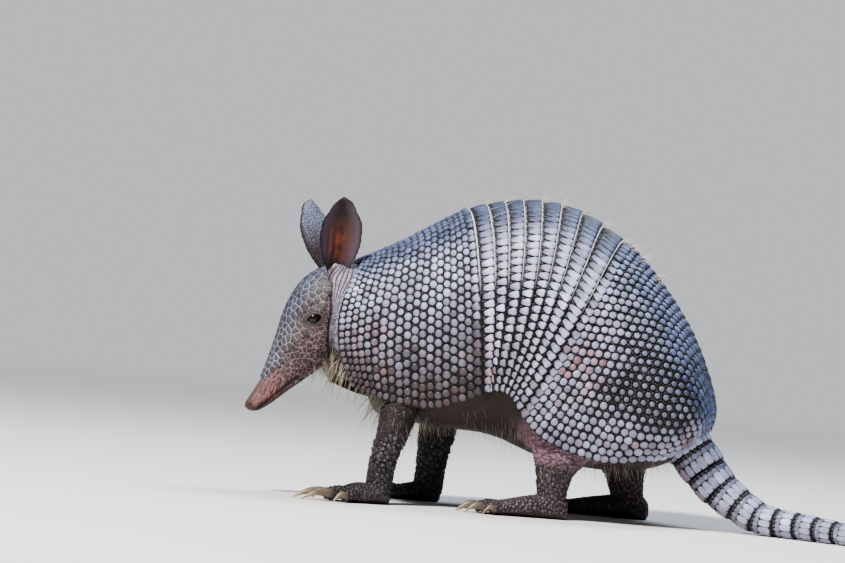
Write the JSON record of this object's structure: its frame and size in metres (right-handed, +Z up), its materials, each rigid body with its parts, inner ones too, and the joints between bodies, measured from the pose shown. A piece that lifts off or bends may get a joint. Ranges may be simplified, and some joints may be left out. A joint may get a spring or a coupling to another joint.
{
  "type": "nine-banded armadillo",
  "caption": "Life-size still model of a nine-banded armadillo standing with arched, banded armour, low snout, raised ears and a ringed tail laid on the floor.",
  "frame": {"origin": "on the floor, under the middle of the animal's bounding box", "axes": "+Z up; the head points to -X, the tail to +X, and the animal's left side faces -Y"},
  "size_m": [0.4376, 0.2586, 0.197],
  "materials": {
    "shell": "satin",
    "skin": "matte",
    "ear": "matte",
    "claw": "satin",
    "eye": "gloss"
  },
  "bodies": {
    "root": {"scapular_shield": "shell", "band_1": "shell", "band_2": "shell", "band_3": "shell", "band_4": "shell", "band_5": "shell", "band_6": "shell", "band_7": "shell", "band_8": "shell", "pelvic_shield": "shell", "eye_left": "eye", "eye_right": "eye", "head": "skin", "head_shield": "shell", "ear_left": "ear", "ear_right": "ear", "neck": "skin", "trunk": "skin", "tail_ring_1": "shell", "tail_ring_2": "shell", "tail_ring_3": "shell", "tail_ring_4": "shell", "tail_ring_5": "shell", "tail_ring_6": "shell", "tail_ring_7": "shell", "tail_ring_8": "shell", "tail_ring_9": "shell", "tail_ring_10": "shell", "tail_ring_11": "shell", "tail_tip": "shell", "leg_front_left": "skin", "claw_front_left_1": "claw", "claw_front_left_2": "claw", "claw_front_left_3": "claw", "claw_front_left_4": "claw", "leg_front_right": "skin", "claw_front_right_1": "claw", "claw_front_right_2": "claw", "claw_front_right_3": "claw", "claw_front_right_4": "claw", "leg_hind_left": "skin", "claw_hind_left_1": "claw", "claw_hind_left_2": "claw", "claw_hind_left_3": "claw", "claw_hind_left_4": "claw", "claw_hind_left_5": "claw", "leg_hind_right": "skin", "claw_hind_right_1": "claw", "claw_hind_right_2": "claw", "claw_hind_right_3": "claw", "claw_hind_right_4": "claw", "claw_hind_right_5": "claw"}
  },
  "joints": []
}
